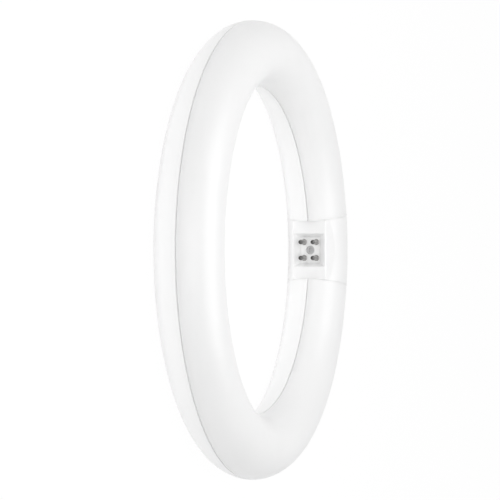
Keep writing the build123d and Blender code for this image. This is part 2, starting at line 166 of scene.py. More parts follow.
class RingSizes(bpy.types.PropertyGroup):
    """Sizes of the tube and of its two half shells."""

    ring_radius: length("Ring radius", "From the ring's axis to the middle of the tube", 90.65 * MM)
    tube_radius: length("Tube radius", "Outside radius of the tube", 14.85 * MM)
    wall: length("Wall", "Thickness of the half shells", 1.5 * MM)
    seam_height: length("Seam height", "Height of the seam between the halves", -0.35 * MM)
    groove_width: length("Groove width", "Width of the groove along the seam", 0.7 * MM)
    outer_groove: length("Outer groove", "Depth of the groove along the outer seam", 0.66 * MM)
    inner_groove: length("Inner groove", "Depth of the groove along the inner seam", 0.66 * MM)
    tongue_wall: length("Tongue wall", "Thickness of the rear half's tongue", 0.7 * MM)
    tongue_height: length("Tongue height", "How far the tongue stands into the front half", 1.6 * MM)
    tongue_clearance: length("Tongue clearance", "Play round the tongue", 0.06 * MM)
    neck_radius: length("Neck radius", "Outside radius of the ends that plug into the base", 13.5 * MM)
    neck_length: length("Neck length", "Length of those ends inside the base", 4.0 * MM)
    shoulder_length: length("Shoulder length", "How far a neck reaches back into the tube", 1.6 * MM)
    end_gap: length("End gap", "Gap between the tube's ends and the base", 0.01 * MM)
    rib_thickness: length("Rib thickness", "Thickness of the ribs that carry the boards", 1.2 * MM)
    rib_embed: length("Rib embed", "How far a rib runs into the wall", 0.3 * MM)
    rib_inset: length("Rib inset", "Distance of an end rib from its LED board's end", 8.0 * MM)
    notch_width: length("Notch width", "Width of the notch in a rib", 8.0 * MM)
    notch_depth: length("Notch depth", "Depth of the notch in a rib", 4.0 * MM)
    post_radius: length("Post radius", "Radius of a board's locating posts", 1.0 * MM)
    post_offset: length("Post offset", "Distance of the posts from the tube's middle", 7.0 * MM)
    post_root: length("Post root", "How far a post starts below its board", 3.0 * MM)
    post_head: length("Post head", "How far a post stands above its board", 0.8 * MM)
    steps: IntProperty(name="Steps", description="Steps round the ring", default=300, min=24)


class BaseSizes(bpy.types.PropertyGroup):
    """Sizes of the base, its pocket, its plate and its pins."""

    radius: length("Base radius", "Outside radius of the base's round part", 14.95 * MM)
    bore: length("Base bore", "Inside radius of the base", 13.55 * MM)
    face_x: length("Face place", "Distance of the flat inner face from the ring's axis", 75.6 * MM)
    face_length: length("Face length", "Length of the flat inner face", 29.4 * MM)
    face_width: length("Face width", "Width of the flat inner face", 17.0 * MM)
    facet_inset: length("Facet inset", "How far the facets sink into the round part", 0.15 * MM)
    edge: length("Edge", "Rounding of the base's moulded edges", 0.03 * MM)
    rib_inset: length("Rib inset", "Distance of a rib from the driver board's end", 1.4 * MM)
    pocket_length: length("Pocket length", "Length of the pocket at its rim", 16.6 * MM)
    pocket_width: length("Pocket width", "Width of the pocket at its rim", 16.0 * MM)
    floor_length: length("Floor length", "Length of the pocket at its floor", 12.7 * MM)
    floor_width: length("Floor width", "Width of the pocket at its floor", 9.8 * MM)
    pocket_depth: length("Pocket depth", "Depth of the plate below the flat face", 2.0 * MM)
    floor_wall: length("Floor wall", "Thickness of the moulding round the plate", 1.5 * MM)
    plate_flange: length("Plate flange", "Thickness of the plate's flange", 1.5 * MM)
    plate_lip: length("Plate lip", "How far the flange reaches behind the moulding", 1.6 * MM)
    plate_clearance: length("Plate clearance", "Play round the plate", 0.02 * MM)
    key_radius: length("Key hole radius", "Radius of the round hole in the plate", 2.2 * MM)
    key_depth: length("Key hole depth", "Depth of the round hole", 1.7 * MM)
    slot_size: length("Slot size", "Side of the square slot in the hole", 2.1 * MM)
    slot_depth: length("Slot depth", "Depth of the square slot", 2.6 * MM)
    pin_spacing_long: length("Pin spacing along", "Pin spacing along the base", 7.92 * MM)
    pin_spacing_short: length("Pin spacing across", "Pin spacing across the base", 6.35 * MM)
    pin_radius: length("Pin radius", "Radius of a pin", 1.175 * MM)
    pin_length: length("Pin length", "Length of a pin above the plate", 7.5 * MM)
    pin_nose: length("Pin nose", "Length of a pin's rounded tip", 1.9 * MM)
    collar_radius: length("Collar radius", "Radius of a pin's collar", 1.5 * MM)
    collar_height: length("Collar height", "Height of a pin's collar", 0.5 * MM)
    tail_radius: length("Tail radius", "Radius of a pin's tail", 0.85 * MM)
    tail_length: length("Tail length", "Length of a pin's tail behind the plate's face", 5.0 * MM)


class Finishes(bpy.types.PropertyGroup):
    """Colours of the visible pieces."""

    opal: colour("Opal", "Front half", (0.86, 0.86, 0.86))
    housing: colour("Housing", "Rear half", (0.86, 0.86, 0.86))
    base: colour("Base", "Base moulding", (0.84, 0.84, 0.84))
    plate: colour("Plate", "Pin plate", (0.85, 0.85, 0.845))
    # Painted shade: the darker colour inside the plate's key hole
    painted_hole_shade: colour("Key hole", "Inside of the plate's hole", (0.68, 0.68, 0.68))
    pin: colour("Pin", "Contact pins", (0.4, 0.395, 0.39))


class StageSettings(bpy.types.PropertyGroup):
    """Camera, light and floor."""

    camera_place: place("Camera place", "Where the camera stands", (-0.8386, 0.0, 0.2886))
    camera_pitch: FloatProperty(
        name="Camera pitch", description="How far the camera looks down", default=math.radians(19.28329),
        subtype="ANGLE",
    )
    lens: FloatProperty(name="Lens", description="Focal length in millimetres", default=138.18)
    sensor: FloatProperty(name="Sensor", description="Width of the film in millimetres", default=36.0)
    fill: level("Fill", "Strength of the light from all round", 0.49)
    overhead: power("Overhead", "Power of the softbox over the ring", 1.17)
    overhead_place: place("Overhead place", "Where that softbox hangs", (-0.07, 0.06, 0.4))
    overhead_size: oblong("Overhead size", "Width and height of that softbox", (0.34, 0.6))
    front: power("Front", "Power of the softbox behind the camera", 5.9)
    front_place: place("Front place", "Where that softbox stands", (-1.5, 0.0, 0.75))
    front_size: oblong("Front size", "Width and height of that softbox", (1.2, 1.2))
    floor_size: length("Floor size", "Side of the square floor", 12.0)
    floor_tone: level("Floor tone", "Tone of the floor's paper", 0.9)
    floor_glow: level("Floor glow", "Light that the floor itself gives", 0.285)
    floor_white: level("Floor white", "Share of plain white in the floor as it is seen", 0.95)


def outward(points, faces):
    """Faces of one closed shape, turned outwards. The signed volume, the sum of each face fan's triple
    products, is negative where they point inwards."""
    faces = [np.atleast_2d(corners) for corners in faces]
    volume = 0.0
    for corners in faces:
        first, second, third = points[corners[:, :1]], points[corners[:, 1:-1]], points[corners[:, 2:]]
        volume += np.sum(first * np.cross(second, third))
    return [corners[:, ::-1] for corners in faces] if volume < 0 else faces


def finished_mesh(name, shapes, crease):
    """Mesh object at the origin from closed shapes, each a pair of points and faces. Edges that bend by
    more than the crease angle stay sharp."""
    points, polygons, start = [], [], 0
    for shape_points, shape_faces in shapes:
        for corners in outward(shape_points, shape_faces):
            polygons += (corners + start).tolist()
        points.append(shape_points)
        start += len(shape_points)
    mesh = bpy.data.meshes.new(name)
    mesh.from_pydata(np.concatenate(points), [], polygons)
    mesh.validate()
    mesh.shade_smooth()
    mesh.set_sharp_from_angle(angle=math.radians(crease))
    piece = bpy.data.objects.new(name, mesh)
    bpy.context.collection.objects.link(piece)
    return piece


def loft_faces(rows, columns, wrap_rows=False):
    """Quads of a grid whose columns close on themselves, and whose rows do too if asked."""
    last = rows if wrap_rows else rows - 1
    i, j = np.meshgrid(np.arange(last), np.arange(columns), indexing="ij")
    row, next_row = i * columns, (i + 1) % rows * columns
    next_j = (j + 1) % columns
    quads = np.stack([row + j, row + next_j, next_row + next_j, next_row + j], axis=-1)
    return quads.reshape(-1, 4)


def closed_loft(grid):
    """Closed shape from a grid of points: each row is a loop, and the first and last loops are filled."""
    rows, columns = grid.shape[:2]
    loop = np.arange(columns)
    return grid.reshape(-1, 3), [loft_faces(rows, columns), loop[::-1], loop + (rows - 1) * columns]


def carried_round(profile, angles):
    """A closed profile of radius and height carried round the ring's axis: each point becomes
    (radius cos a, radius sin a, height)."""
    a = np.asarray(angles)[:, None]
    radius = profile[None, :, 0]
    height = np.broadcast_to(profile[None, :, 1], (len(angles), len(profile)))
    return closed_loft(np.stack([radius * np.cos(a), radius * np.sin(a), height], axis=-1))


def pushed_across(profile, angle, thickness):
    """A closed profile of radius and height in the plane at an angle round the ring's axis, pushed half its
    thickness to each side of that plane: each point becomes
    (radius cos a - s sin a, radius sin a + s cos a, height) for both sides s."""
    side = np.array([[-0.5], [0.5]]) * thickness
    x = profile[:, 0] * math.cos(angle) - side * math.sin(angle)
    y = profile[:, 0] * math.sin(angle) + side * math.cos(angle)
    return closed_loft(np.stack([x, y, np.broadcast_to(profile[:, 1], x.shape)], axis=-1))


def round_angles(count):
    """Even angles round a full circle."""
    return np.arange(count) * FULL_TURN / count


def upright_post(centre, radius, low, high):
    """A round post: a circle about a centre, at a low and at a high place along Z."""
    turn = round_angles(POST_SIDES)
    circle = np.stack([centre[0] + radius * np.cos(turn), centre[1] + radius * np.sin(turn)], axis=-1)
    return closed_loft(np.stack([np.column_stack([circle, np.full(POST_SIDES, z)]) for z in (low, high)]))


def node_points(name):
    """Points of a CAD node's mesh."""
    mesh = frame["nodes"][name].data
    points = np.empty(3 * len(mesh.vertices))
    mesh.vertices.foreach_get("co", points)
    return points.reshape(-1, 3)


def arc(centre, radius, start, end, count):
    """Points on a circle's arc in the plane of radius and height."""
    t = np.linspace(start, end, count)
    return np.stack([centre[0] + radius * np.cos(t), centre[1] + radius * np.sin(t)], axis=-1)


def half_chord(radius, height):
    """Half the width of a circle at a height from its middle."""
    return math.sqrt(radius**2 - height**2)


def half_profile(ring, front):
    """Section of one half shell: the outer arc from seam to seam with the groove's slope at each end, the
    flat of the seam, the step of the tongue or its rebate, and the inner arc back."""
    side = 1 if front else -1
    play = ring.tongue_clearance if front else 0.0
    middle = (ring.ring_radius, 0.0)
    outer, inner = ring.tube_radius, ring.tube_radius - ring.wall
    seam, top = ring.seam_height, ring.seam_height + ring.tongue_height + play
    step = inner + ring.tongue_wall + play
    lip = math.asin((seam + side * ring.groove_width / 2) / outer)
    outer_points = arc(middle, outer, lip, side * math.pi - lip, OUTER_ARC_POINTS)
    groove_in = [[ring.inner_groove - half_chord(outer, seam), seam]]
    groove_out = [[half_chord(outer, seam) - ring.outer_groove, seam]]
    step_out = [[half_chord(inner, top), top], [half_chord(step, top), top], [half_chord(step, seam), seam]]
    step_in = [[-x, z] for x, z in reversed(step_out)]
    start = math.pi - math.asin(top / inner)
    end = math.asin(top / inner) + (0.0 if front else FULL_TURN)
    inner_points = arc(middle, inner, start, end, INNER_ARC_POINTS)[1:-1]
    seam_in, seam_out = np.array(groove_in + step_in), np.array(step_out + groove_out)
    return np.concatenate([outer_points, seam_in + middle, inner_points, seam_out + middle])


def neck_profile(ring, front):
    """Section of a neck: a half ring between the neck's radius and one wall less."""
    side = 1 if front else -1
    middle = (ring.ring_radius, 0.0)
    points = []
    for radius, turn in ((ring.neck_radius, 1), (ring.neck_radius - ring.wall, -1)):
        lip = math.asin(ring.seam_height / radius)
        points.append(arc(middle, radius, lip, side * math.pi - lip, NECK_ARC_POINTS)[::turn])
    return np.concatenate(points)


def board_carriers(ring):
    """Ribs and posts under the LED boards. A board's ends, read from its node, are the least and greatest
    angle round the ring's axis. A rib is the part of the bore's circle below the board, with a notch, at
    each end and in the middle of the board, and a post stands through the board at each end rib."""
    shapes = []
    middle = (ring.ring_radius, 0.0)
    reach = ring.tube_radius - ring.wall + ring.rib_embed
    inset = ring.rib_inset / ring.ring_radius
    post_ring = ring.ring_radius + ring.post_offset
    for name in sorted(node for node in frame["nodes"] if node.startswith("led_board")):
        points = node_points(name)
        turn = np.arctan2(points[:, 1], points[:, 0]) % FULL_TURN
        seat, top = points[:, 2].min(), points[:, 2].max()
        lip = math.asin(seat / reach)
        under = arc(middle, reach, math.pi - lip, FULL_TURN + lip, RIB_ARC_POINTS)
        half, floor = ring.notch_width / 2, seat - ring.notch_depth
        notch = np.array([[half, seat], [half, floor], [-half, floor], [-half, seat]])
        profile = np.concatenate([under, notch + middle])
        first, last = turn.min() + inset, turn.max() - inset
        for angle in (first, (first + last) / 2, last):
            shapes.append(pushed_across(profile, angle, ring.rib_thickness))
        for angle in (first, last):
            centre = (post_ring * math.cos(angle), post_ring * math.sin(angle))
            low, high = seat - ring.post_root, top + ring.post_head
            shapes.append(upright_post(centre, ring.post_radius, low, high))
    return shapes


def driver_ribs(ring, base):
    """The two ribs under the driver board: the part of the bore's circle that lies below the board and
    beyond its inner edge. The board's seat, inner edge and length are read from its node."""
    points = node_points("driver_board")
    inner, half_length, seat = points[:, 0].min(), points[:, 1].max(), points[:, 2].min()
    reach = base.bore + ring.rib_embed
    start = math.pi + math.acos((ring.ring_radius - inner) / reach)
    end = FULL_TURN + math.asin(seat / reach)
    under = arc((ring.ring_radius, 0.0), reach, start, end, RIB_ARC_POINTS)
    profile = np.concatenate([under, [[inner, seat]]])
    turn = math.atan2(half_length - base.rib_inset, ring.ring_radius)
    return [pushed_across(profile, angle, ring.rib_thickness) for angle in (-turn, turn)]


def half_shell(name, front):
    """One half of the tube: the half section carried round the ring, with a neck carried on at each end,
    and in the rear half the ribs and posts that carry the boards."""
    ring, base = bpy.context.scene.ring_sizes, bpy.context.scene.base_sizes
    start = math.atan2(base.face_length / 2, base.face_x) + ring.end_gap / ring.ring_radius
    end = FULL_TURN - start
    back = (ring.neck_length + ring.end_gap) / ring.ring_radius
    shoulder = ring.shoulder_length / ring.ring_radius
    shapes = [carried_round(half_profile(ring, front), np.linspace(start, end, ring.steps))]
    neck = neck_profile(ring, front)
    for low, high in ((start - back, start + shoulder), (end - shoulder, end + back)):
        shapes.append(carried_round(neck, np.linspace(low, high, NECK_STEPS)))
    if not front:
        shapes += board_carriers(ring)
    return finished_mesh(name, shapes, SHELL_CREASE)


def soft_least(a, b, blend):
    """Smooth least of two arrays: -blend log(exp(-a / blend) + exp(-b / blend))."""
    return -blend * np.logaddexp(-a / blend, -b / blend)


def soft_clip(x, blend):
    """Smooth ramp that follows x between 0 and 1 and flattens out below and above."""
    return blend * (np.logaddexp(0.0, x / blend) - np.logaddexp(0.0, (x - 1.0) / blend))


def plane_reach(ring_radius, plane_x, turn, around):
    """Distance from the tube's middle to the plane X = plane_x, at an angle round the ring's axis and an
    angle round the tube from its inner side: the ring's radius less plane_x over the cosine of the first
    angle, all over the cosine of the second."""
    return (ring_radius - plane_x / np.cos(turn)) / np.maximum(np.cos(around), NEAR_ZERO)


def base_reach(base, ring_radius, turn, around):
    """Distance from the tube's middle to the base's outside, at an angle round the ring's axis and an angle
    round the tube from its inner side. It is the round part, or the facet's plane where that stands
    further out, cut off by the plane of the flat face, with the creases softened."""
    half = base.face_width / 2
    to_face = ring_radius - base.face_x
    corner = math.hypot(to_face, half)
    facet_radius = base.radius - base.facet_inset
    facet_turn = math.atan2(half, to_face) + math.acos(facet_radius / corner)
    face = np.array([base.face_x, half])
    outward_turn = np.array([-math.cos(facet_turn), math.sin(facet_turn)])
    rest = np.array([ring_radius, 0.0]) + facet_radius * outward_turn
    along = (rest - face) / np.linalg.norm(rest - face)
    normal = np.array([-along[1], along[0]])
    around = np.abs((around + np.pi) % FULL_TURN - np.pi)
    slope = normal[1] * np.sin(around) - normal[0] * np.cos(around) * np.cos(turn)
    facet = (face @ normal - normal[0] * ring_radius * np.cos(turn)) / np.maximum(slope, NEAR_ZERO)
    hull = -soft_least(np.full_like(facet, -base.radius), -facet, FACET_BLEND)
    hull = np.where(around < facet_turn, hull, base.radius)
    return soft_least(plane_reach(ring_radius, base.face_x, turn, around), hull, FACE_BLEND)


def spaced(marks, counts):
    """Values through the marks with the given number of steps between neighbours."""
    runs = [np.linspace(a, b, n, endpoint=False) for a, b, n in zip(marks[:-1], marks[1:], counts)]
    return np.concatenate(runs + [marks[-1:]])


def mirrored(half):
    """Rising values from 0 with their negatives before them."""
    return np.concatenate([-half[:0:-1], half])


def window_loop(window):
    """Rows and columns of the points round the edge of a rectangle of true values in a grid."""
    rows, columns = np.nonzero(window.any(axis=1))[0], np.nonzero(window.any(axis=0))[0]
    top, low, left, right = rows[0], rows[-1], columns[0], columns[-1]
    rightward, downward = np.arange(left, right), np.arange(top, low)
    leftward, upward = np.arange(right, left, -1), np.arange(low, top, -1)
    wide, tall = len(rightward), len(downward)
    loop_rows = [np.full(wide, top), downward, np.full(wide, low), upward]
    loop_columns = [rightward, np.full(tall, right), leftward, np.full(tall, left)]
    return np.concatenate(loop_rows), np.concatenate(loop_columns)


def build_base(name):
    """The base as one closed grid of sections. Each section runs across the flat face and round the tube,
    and the sections go along the base, over its end and back through its bore. Inside the rim the face is
    moved away from the ring's centre by the pocket's depth: the least of two ramps, along and across, times
    the depth. The window in the pocket's floor is left open, and a wall joins its outer and inner rims."""
    ring, base = bpy.context.scene.ring_sizes, bpy.context.scene.base_sizes
    r = ring.ring_radius
    end = math.atan2(base.face_length / 2, base.face_x)
    rim = math.atan2(base.pocket_length / 2, base.face_x)
    sill = math.atan2(base.floor_length / 2, base.face_x + base.pocket_depth)

    # Angles of the sections round the ring's axis, and how far the rounded ends draw each section in
    marks = np.array([0, sill, rim, rim + RIM_BAND / r, end - base.edge / r])
    flat_turn = mirrored(spaced(marks, STEPS_ALONG))
    bend = np.linspace(0, np.pi / 2, BASE_EDGE_STEPS + 1)[1:]
    end_turn = end - base.edge / r * (1 - np.sin(bend))
    end_inset = base.edge * (1 - np.cos(bend))
    turn = np.concatenate([-end_turn[::-1], flat_turn, end_turn])
    inset = np.concatenate([end_inset[::-1], np.zeros(len(flat_turn)), end_inset])

    # Angles round the tube: first across the flat face, then round the rest
    widths = np.array([0, base.floor_width, base.pocket_width, base.face_width])
    across = mirrored(spaced(widths / 2, STEPS_ACROSS))
    flat_reach = (r - base.face_x / np.cos(turn))[:, None]
    face_around = np.arctan2(across[None, :], flat_reach)
    crease = np.arctan2(base.face_width / 2, flat_reach)
    share = np.linspace(0, 1, BASE_ROUND_POINTS)[None, 1:-1]
    around = np.concatenate([face_around, crease + share * (FULL_TURN - 2 * crease)], axis=1)
    turns = np.broadcast_to(turn[:, None], around.shape)
    face = slice(len(across))

    # Outside, with the pocket sunk into the flat face
    reach = base_reach(base, r, turns, around) - inset[:, None]
    x = (r - reach * np.cos(around)) * np.cos(turns)
    z = reach * np.sin(around)
    along_ramp = ((rim - np.abs(turn)) / (rim - sill))[:, None]
    across_ramp = (base.pocket_width - 2 * np.abs(across)) / (base.pocket_width - base.floor_width)
    ramp = soft_least(*np.broadcast_arrays(along_ramp, across_ramp[None, :]), POCKET_CORNER_BLEND)
    x[:, face] += base.pocket_depth * soft_clip(ramp, POCKET_EDGE_BLEND)
    outside = np.stack([x, x * np.tan(turns), z], axis=-1)

    # Inside: the bore, with the back of the pocket's frame between the necks
    frame_back = base.face_x + base.pocket_depth + base.floor_wall
    between_necks = np.abs(turns) < end - (ring.neck_length + NECK_ROOM) / r
    behind_frame = np.minimum(base.bore, plane_reach(r, frame_back, turns, around))
    inner_reach = np.where(between_necks, behind_frame, base.bore)
    inner_x = (r - inner_reach * np.cos(around)) * np.cos(turns)
    inner_z = inner_reach * np.sin(around)
    open_along = np.abs(turn) <= sill + SAME_PLACE / r
    open_across = np.abs(across) <= base.floor_width / 2 + SAME_PLACE
    window = open_along[:, None] & open_across[None, :]
    inner_x[:, face] = np.where(window, frame_back, inner_x[:, face])
    inner_z[:, face] = np.where(window, across[None, :], inner_z[:, face])
    inside = np.stack([inner_x, inner_x * np.tan(turns), inner_z], axis=-1)

    # Faces: the closed grid without the window, and the wall round the window
    points = np.concatenate([outside, inside[::-1]])
    rows, columns = points.shape[:2]
    loop_rows, loop_columns = window_loop(window)
    i, j = np.divmod(np.arange(rows * columns), columns)
    i = np.where(i < len(turn), i, rows - 2 - i)
    in_rows = (i >= loop_rows.min()) & (i < loop_rows.max())
    in_columns = (j >= loop_columns.min()) & (j < loop_columns.max())
    shell = loft_faces(rows, columns, wrap_rows=True)[~(in_rows & in_columns)]
    rim_outer = loop_rows * columns + loop_columns
    rim_inner = (rows - 1 - loop_rows) * columns + loop_columns
    wall = np.stack([rim_outer, np.roll(rim_outer, -1), np.roll(rim_inner, -1), rim_inner], axis=-1)
    shapes = [(points.reshape(-1, 3), [shell, wall])] + driver_ribs(ring, base)
    return finished_mesh(name, shapes, BASE_CREASE)


def box_reach(angle, half_y, half_z):
    """Distance from the middle of a rectangle to its edge at an angle."""
    to_side = half_y / np.maximum(np.abs(np.cos(angle)), NEAR_ZERO)
    to_top = half_z / np.maximum(np.abs(np.sin(angle)), NEAR_ZERO)
    return np.minimum(to_side, to_top)


def build_plate(name):
    """The pin plate as loops from its back to the bottom of its slot: two rectangles for the flange, two
    for the plug, with a softened edge, two circles for the round hole and two squares for the slot."""
    base = bpy.context.scene.base_sizes
    plug_y = base.floor_length / 2 - base.plate_clearance
    plug_z = base.floor_width / 2 - base.plate_clearance
    lip_y = base.floor_length / 2 + base.plate_lip
    lip_z = base.floor_width / 2 + base.plate_lip
    corners = np.array([math.atan2(plug_z, plug_y), math.atan2(lip_z, lip_y)])
    corners = np.concatenate([corners, math.pi - corners, math.pi + corners, FULL_TURN - corners])
    angle = np.unique(np.round(np.concatenate([round_angles(PLATE_SIDES), corners]), ANGLE_DIGITS))
    front = base.face_x + base.pocket_depth
    step = front + base.floor_wall
    back = step + base.plate_flange
    lip = box_reach(angle, lip_y, lip_z)
    plug = box_reach(angle, plug_y, plug_z)
    hole = np.full_like(angle, base.key_radius)
    slot = box_reach(angle, base.slot_size / 2, base.slot_size / 2)
    rim = box_reach(angle, plug_y - PLATE_EDGE, plug_z - PLATE_EDGE)
    loops = [(lip, back), (lip, step), (plug, step), (plug, front + PLATE_EDGE), (rim, front)]
    loops += [(hole + share * (rim - hole), front) for share in (0.75, 0.5, 0.25)]
    loops += [(hole + PLATE_EDGE, front), (hole, front + PLATE_EDGE), (hole, front + base.key_depth)]
    loops += [(slot, front + base.key_depth), (slot, front + base.slot_depth)]
    reach = np.stack([loop[0] for loop in loops])
    depth = np.array([loop[1] for loop in loops])[:, None]
    x = np.broadcast_to(depth, reach.shape)
    points = np.stack([x, reach * np.cos(angle), reach * np.sin(angle)], axis=-1)
    return finished_mesh(name, [closed_loft(points)], PLATE_CREASE)


def build_pin(name, y, z):
    """A turned pin: a profile of height above the plate and radius, turned about the pin's own axis. The
    tip is half an ellipse, and the collar and shoulder have softened edges."""
    base = bpy.context.scene.base_sizes
    radius, collar, collar_top = base.pin_radius, base.collar_radius, base.collar_height
    t = np.linspace(0, np.pi / 2, PIN_NOSE_POINTS)[:-1]
    nose = np.stack([base.pin_length - base.pin_nose * (1 - np.sin(t)), radius * np.cos(t)], axis=-1)
    shank = np.array([
        [-base.tail_length, base.tail_radius],
        [0, base.tail_radius],
        [0, collar],
        [collar_top - PIN_EDGE, collar],
        [collar_top - PIN_EDGE_MIDDLE, collar - PIN_EDGE_MIDDLE],
        [collar_top, collar - PIN_EDGE],
        [collar_top, radius + PIN_EDGE],
        [collar_top + PIN_EDGE, radius],
    ])
    profile = np.concatenate([shank, nose])
    height, reach = profile[:, :1], profile[:, 1:]
    angle = round_angles(PIN_SIDES)
    x = np.broadcast_to(base.face_x + base.pocket_depth - height, (len(profile), PIN_SIDES))
    points = np.stack([x, y + reach * np.cos(angle), z + reach * np.sin(angle)], axis=-1)
    return finished_mesh(name, [closed_loft(points)], PIN_CREASE)


def fill_inputs(tree, node, inputs):
    """Sets a node's inputs, named with _ for a space, to values, or links them to other nodes' outputs."""
    for key, value in inputs.items():
        socket = node.inputs[key.replace("_", " ")]
        if isinstance(value, bpy.types.NodeSocket):
            tree.links.new(value, socket)
        else:
            socket.default_value = value


def new_node(tree, kind, **inputs):
    """A new node with its inputs filled."""
    node = tree.nodes.new(kind)
    fill_inputs(tree, node, inputs)
    return node


class Finish:
    """A procedural material under construction, with short calls for its nodes."""

    def __init__(self, name):
        self.material = bpy.data.materials.new(name)
        self.material.use_nodes = True
        self.tree = self.material.node_tree
        self.shader = self.tree.nodes["Principled BSDF"]
        self.place = self.node("ShaderNodeTexCoord").outputs["Object"]

    def node(self, kind, **inputs):
        """A new node in this material."""
        return new_node(self.tree, kind, **inputs)

    def set(self, **inputs):
        """Fills inputs of the material's shader."""
        fill_inputs(self.tree, self.shader, inputs)

    def noise(self, scale, detail=3.0):
        """Noise from about 0.3 to 0.7, in the object's own coordinates."""
        return self.node("ShaderNodeTexNoise", Vector=self.place, Scale=scale, Detail=detail).outputs["Fac"]

    def ramp(self, value, low=0.0, high=1.0, start=0.3, stop=0.7):
        """Value mapped from start and stop to low and high, and held there beyond them."""
        node = self.node(
            "ShaderNodeMapRange", Value=value, From_Min=start, From_Max=stop, To_Min=low, To_Max=high
        )
        return node.outputs["Result"]

    def mix(self, share, first, second):
        """Colour between two colours or outputs, by a share that is an output."""
        node = self.tree.nodes.new("ShaderNodeMix")
        node.data_type = "RGBA"
        self.tree.links.new(share, node.inputs[0])
        for socket, value in zip((node.inputs[number] for number in MIX_COLOURS), (first, second)):
            if isinstance(value, bpy.types.NodeSocket):
                self.tree.links.new(value, socket)
            else:
                socket.default_value = (*value, 1.0)
        return node.outputs[MIX_RESULT]

    def bump(self, height, distance, strength=0.3):
        """Relief of a height output in the shader's normal."""
        node = self.node("ShaderNodeBump", Height=height, Distance=distance, Strength=strength)
        self.set(Normal=node.outputs["Normal"])


def shade(base, factor):
    """A colour made a little lighter or darker."""
    return tuple(min(1.0, c * factor) for c in base)


def moulded_plastic(name, base, roughness, grain, subsurface=0.0):
    """Moulded plastic: broad faint flow marks in the colour, a fine spark-eroded grain in the bump, and a
    gloss that varies a little over the surface."""
    f = Finish(name)
    marks = f.ramp(f.noise(scale=38.0, detail=2.0))
    gloss = f.ramp(f.noise(scale=160.0), low=roughness - 0.04, high=roughness + 0.05)
    f.set(Base_Color=f.mix(marks, shade(base, 0.985), base), Roughness=gloss, IOR=1.58)
    f.bump(f.noise(scale=grain, detail=2.0), distance=0.008 * MM)
    if subsurface:
        f.set(Subsurface_Weight=subsurface, Subsurface_Scale=4.0 * MM, Subsurface_Radius=(1.0, 1.0, 1.0))
    return f.material


def keyed_plate(name, base, hole, radius):
    """Moulded plate with a darker colour of painted shade inside a radius about X, where its key hole is.
    """
    f = Finish(name)
    parts = f.node("ShaderNodeSeparateXYZ", Vector=f.place)
    flat = f.node("ShaderNodeCombineXYZ", Y=parts.outputs["Y"], Z=parts.outputs["Z"])
    reach = f.node("ShaderNodeVectorMath", Vector=flat.outputs["Vector"])
    reach.operation = "LENGTH"
    outside = f.ramp(reach.outputs["Value"], start=radius, stop=radius + 0.04 * MM)
    marks = f.ramp(f.noise(scale=60.0, detail=2.0))
    moulding = f.mix(marks, shade(base, 0.985), base)
    gloss = f.ramp(f.noise(scale=400.0), low=0.42, high=0.5)
    # Inside the key hole's radius the colour is the painted shade of the hole
    f.set(Base_Color=f.mix(outside, hole, moulding), Roughness=gloss)
    f.bump(f.noise(scale=1800.0, detail=2.0), distance=0.01 * MM)
    return f.material


def turned_nickel(name, base, tip, painted_tip_length):
    """Nickel plate on turned brass: fine rings round the pin, and painted shade and dark reflection on the
    tip, a darker colour that ends a given length behind the tip's place along X."""
    f = Finish(name)
    along = f.node("ShaderNodeSeparateXYZ", Vector=f.place).outputs["X"]
    plated = f.mix(f.ramp(f.noise(scale=900.0)), shade(base, 0.88), base)
    # Painted shade and dark reflection: the colour darkens towards the pin's tip over the painted tip
    # length
    behind_tip = f.ramp(along, start=tip, stop=tip + painted_tip_length)
    gloss = f.ramp(f.noise(scale=1400.0, detail=2.0), low=0.24, high=0.36)
    f.set(Base_Color=f.mix(behind_tip, shade(base, 0.16), plated), Roughness=gloss, Metallic=1.0)
    rings = f.node("ShaderNodeTexWave", Vector=f.place, Scale=900.0, Distortion=0.6, Detail=2.0)
    rings.bands_direction = "X"
    f.bump(rings.outputs["Fac"], distance=0.02 * MM, strength=0.25)
    return f.material


def speckled(name, base, second, scale, roughness):
    """Plain finish of an inner part: two close tones in a fine pattern, with a little relief."""
    f = Finish(name)
    grain = f.noise(scale)
    gloss = f.ramp(f.noise(scale * 2.3, detail=2.0), low=roughness - 0.05, high=roughness + 0.08)
    f.set(Base_Color=f.mix(f.ramp(grain), second, base), Roughness=gloss)
    f.bump(grain, distance=0.04 * MM)
    return f.material


def fitted(piece, node, material):
    """Puts a finished piece in its node's place."""
    piece.data.materials.append(material)
    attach(piece, "root")
    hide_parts(node)


class RINGLAMP_OT_front_diffuser(bpy.types.Operator):
    """Build the opal front half of the tube"""

    bl_idname = "ringlamp.front_diffuser"
    bl_label = "Front diffuser"

    def execute(self, context):
        looks = context.scene.finishes
        finish = moulded_plastic(
            "opal_polycarbonate", looks.opal, roughness=0.34, grain=1500.0, subsurface=0.35
        )
        fitted(half_shell("opal_front_half", True), "front_diffuser", finish)
        return {"FINISHED"}


class RINGLAMP_OT_rear_housing(bpy.types.Operator):
    """Build the white rear half of the tube"""

    bl_idname = "ringlamp.rear_housing"
    bl_label = "Rear housing"

    def execute(self, context):
        looks = context.scene.finishes
        finish = moulded_plastic("white_polycarbonate", looks.housing, roughness=0.38, grain=1300.0)
        fitted(half_shell("white_rear_half", False), "rear_housing", finish)
        return {"FINISHED"}


